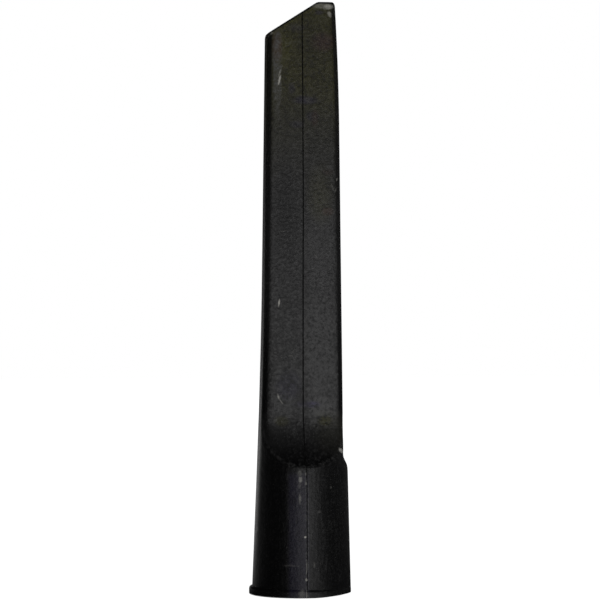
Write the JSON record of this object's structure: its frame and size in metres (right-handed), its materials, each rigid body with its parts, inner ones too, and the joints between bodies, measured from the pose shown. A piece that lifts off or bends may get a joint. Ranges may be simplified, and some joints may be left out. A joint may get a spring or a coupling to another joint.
{
  "type": "vacuum crevice tool",
  "caption": "Long flat hollow nozzle with a slanted mouth and a round push-fit socket, for vacuuming narrow gaps.",
  "frame": {"origin": "centre of the socket's rim, on the axis of its bore", "axes": "+Z from the socket towards the mouth, +X towards the mouth's long side, -Y the wide face that the picture shows"},
  "size_m": [0.0395, 0.0394, 0.229],
  "materials": {
    "body_plastic": "moulded black plastic with a fine grain"
  },
  "bodies": {
    "root": {"crevice_tool": "body_plastic"}
  },
  "joints": []
}
